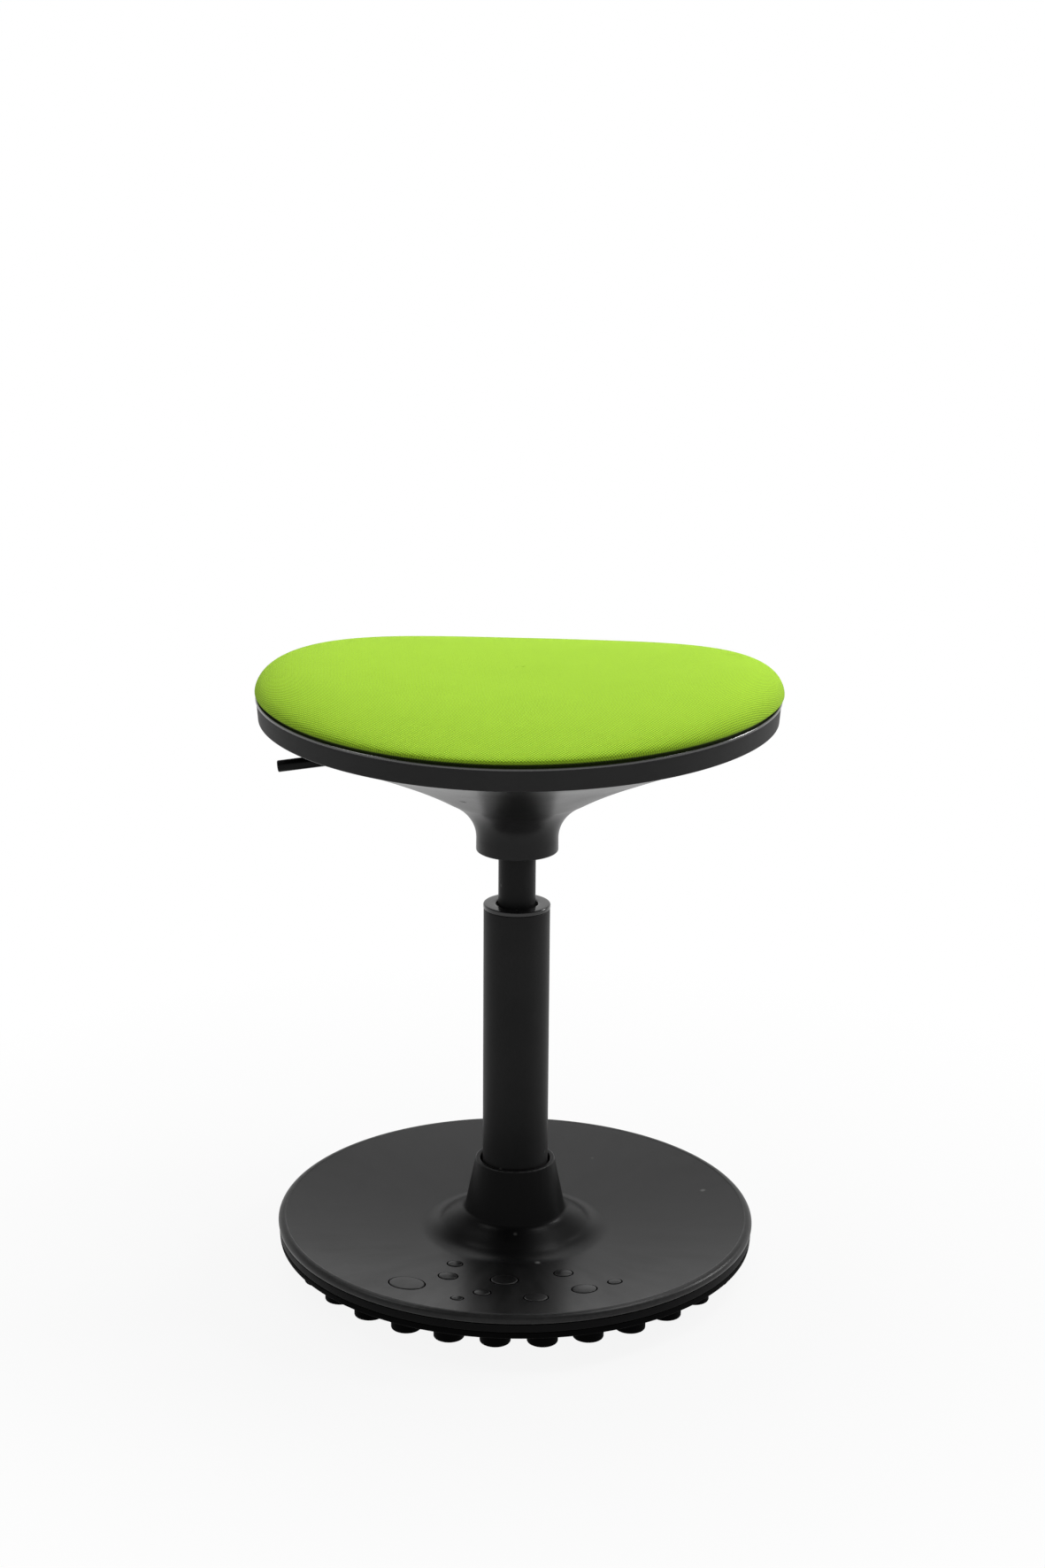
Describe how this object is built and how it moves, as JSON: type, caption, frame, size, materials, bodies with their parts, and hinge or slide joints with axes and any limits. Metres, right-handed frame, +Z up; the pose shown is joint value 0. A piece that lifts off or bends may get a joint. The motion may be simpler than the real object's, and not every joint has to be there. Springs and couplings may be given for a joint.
{
  "type": "wobble stool",
  "caption": "Height-adjustable active stool: round padded saddle seat on a swivelling gas-spring column, standing on a dished disc base with a convex studded rubber rocking sole.",
  "frame": {"origin": "on the floor under the column's axis, at the level of the studs that touch it", "axes": "+Z up along the column; the sitter's front is -Y; the release lever points to -X, at the sitter's right"},
  "size_m": [0.389, 0.389, 0.4751],
  "materials": {
    "sole_rubber": "matt moulded rubber",
    "tray_plastic": "black, finely grained",
    "cover_plastic": "black, semi-matt, lightly streaked",
    "ballast_iron": "as cast",
    "pan_coat": "black electrocoat",
    "steel": "zinc plated",
    "dark_steel": "black oxide",
    "column_coat": "black satin powder coat",
    "cylinder_coat": "black satin",
    "lever_coat": "black satin",
    "cap_gloss": "black, glossy",
    "guide_plastic": "black acetal",
    "shell_plastic": "black, semi-matt",
    "seal_rubber": "smooth",
    "board_wood": "bare plywood",
    "foam": "open-cell foam",
    "seat_fabric": "lime-green fine basket weave"
  },
  "bodies": {
    "base": {"rubber_sole": "sole_rubber", "base_tray": "tray_plastic", "ballast_plate": "ballast_iron", "hub_socket": "pan_coat", "hub_bolt_1": "dark_steel", "hub_bolt_2": "dark_steel", "hub_bolt_3": "dark_steel", "hub_bolt_4": "dark_steel", "base_cover": "cover_plastic", "base_screw_1": "steel", "base_screw_2": "steel", "base_screw_3": "steel", "base_screw_4": "steel", "base_screw_5": "steel", "base_screw_6": "steel", "column_tube": "column_coat", "tube_cap": "cap_gloss", "guide_bush": "guide_plastic", "bearing_lower_race": "steel"},
    "rod": {"bearing_cage": "steel", "bearing_upper_race": "steel", "piston_rod": "steel", "rod_washer": "steel", "rod_clip": "steel", "bump_stop": "seal_rubber", "piston": "steel", "piston_ring": "seal_rubber", "piston_nut": "steel"},
    "seat": {"gas_cylinder": "cylinder_coat", "cylinder_gland": "steel", "rod_seal": "seal_rubber", "taper_socket": "pan_coat", "mounting_pan": "pan_coat", "pan_screw_1": "steel", "pan_screw_2": "steel", "pan_screw_3": "steel", "pan_screw_4": "steel", "lever_bracket": "pan_coat", "lever_pin": "steel", "seat_shell": "shell_plastic", "shell_screw_1": "dark_steel", "shell_screw_2": "dark_steel", "shell_screw_3": "dark_steel", "shell_screw_4": "dark_steel", "seat_board": "board_wood", "seat_foam": "foam", "seat_fabric": "seat_fabric"},
    "lever": {"release_lever": "lever_coat"},
    "pin": {"release_pin": "steel"}
  },
  "joints": [
    {"name": "seat_swivel", "type": "hinge", "parent": "base", "child": "rod", "pos_m": [0, 0, 0.04], "axis": [0, 0, 1], "continuous": true},
    {"name": "height_slide", "type": "slide", "parent": "rod", "child": "seat", "axis": [0, 0, 1], "range_m": [0, 0.13]},
    {"name": "lever_lift", "type": "hinge", "parent": "seat", "child": "lever", "pos_m": [-0.027, 0, 0.4155], "axis": [0, 1, 0], "range_deg": [0, 6], "stiffness_Nm_per_rad": 6, "springref_deg": -8.59},
    {"name": "pin_press", "type": "slide", "parent": "seat", "child": "pin", "axis": [0, 0, 1], "range_m": [-0.003, 0]}
  ],
  "couplings": [
    {"joint": "pin_press", "follows": "lever_lift", "m_per_rad": -0.027}
  ]
}
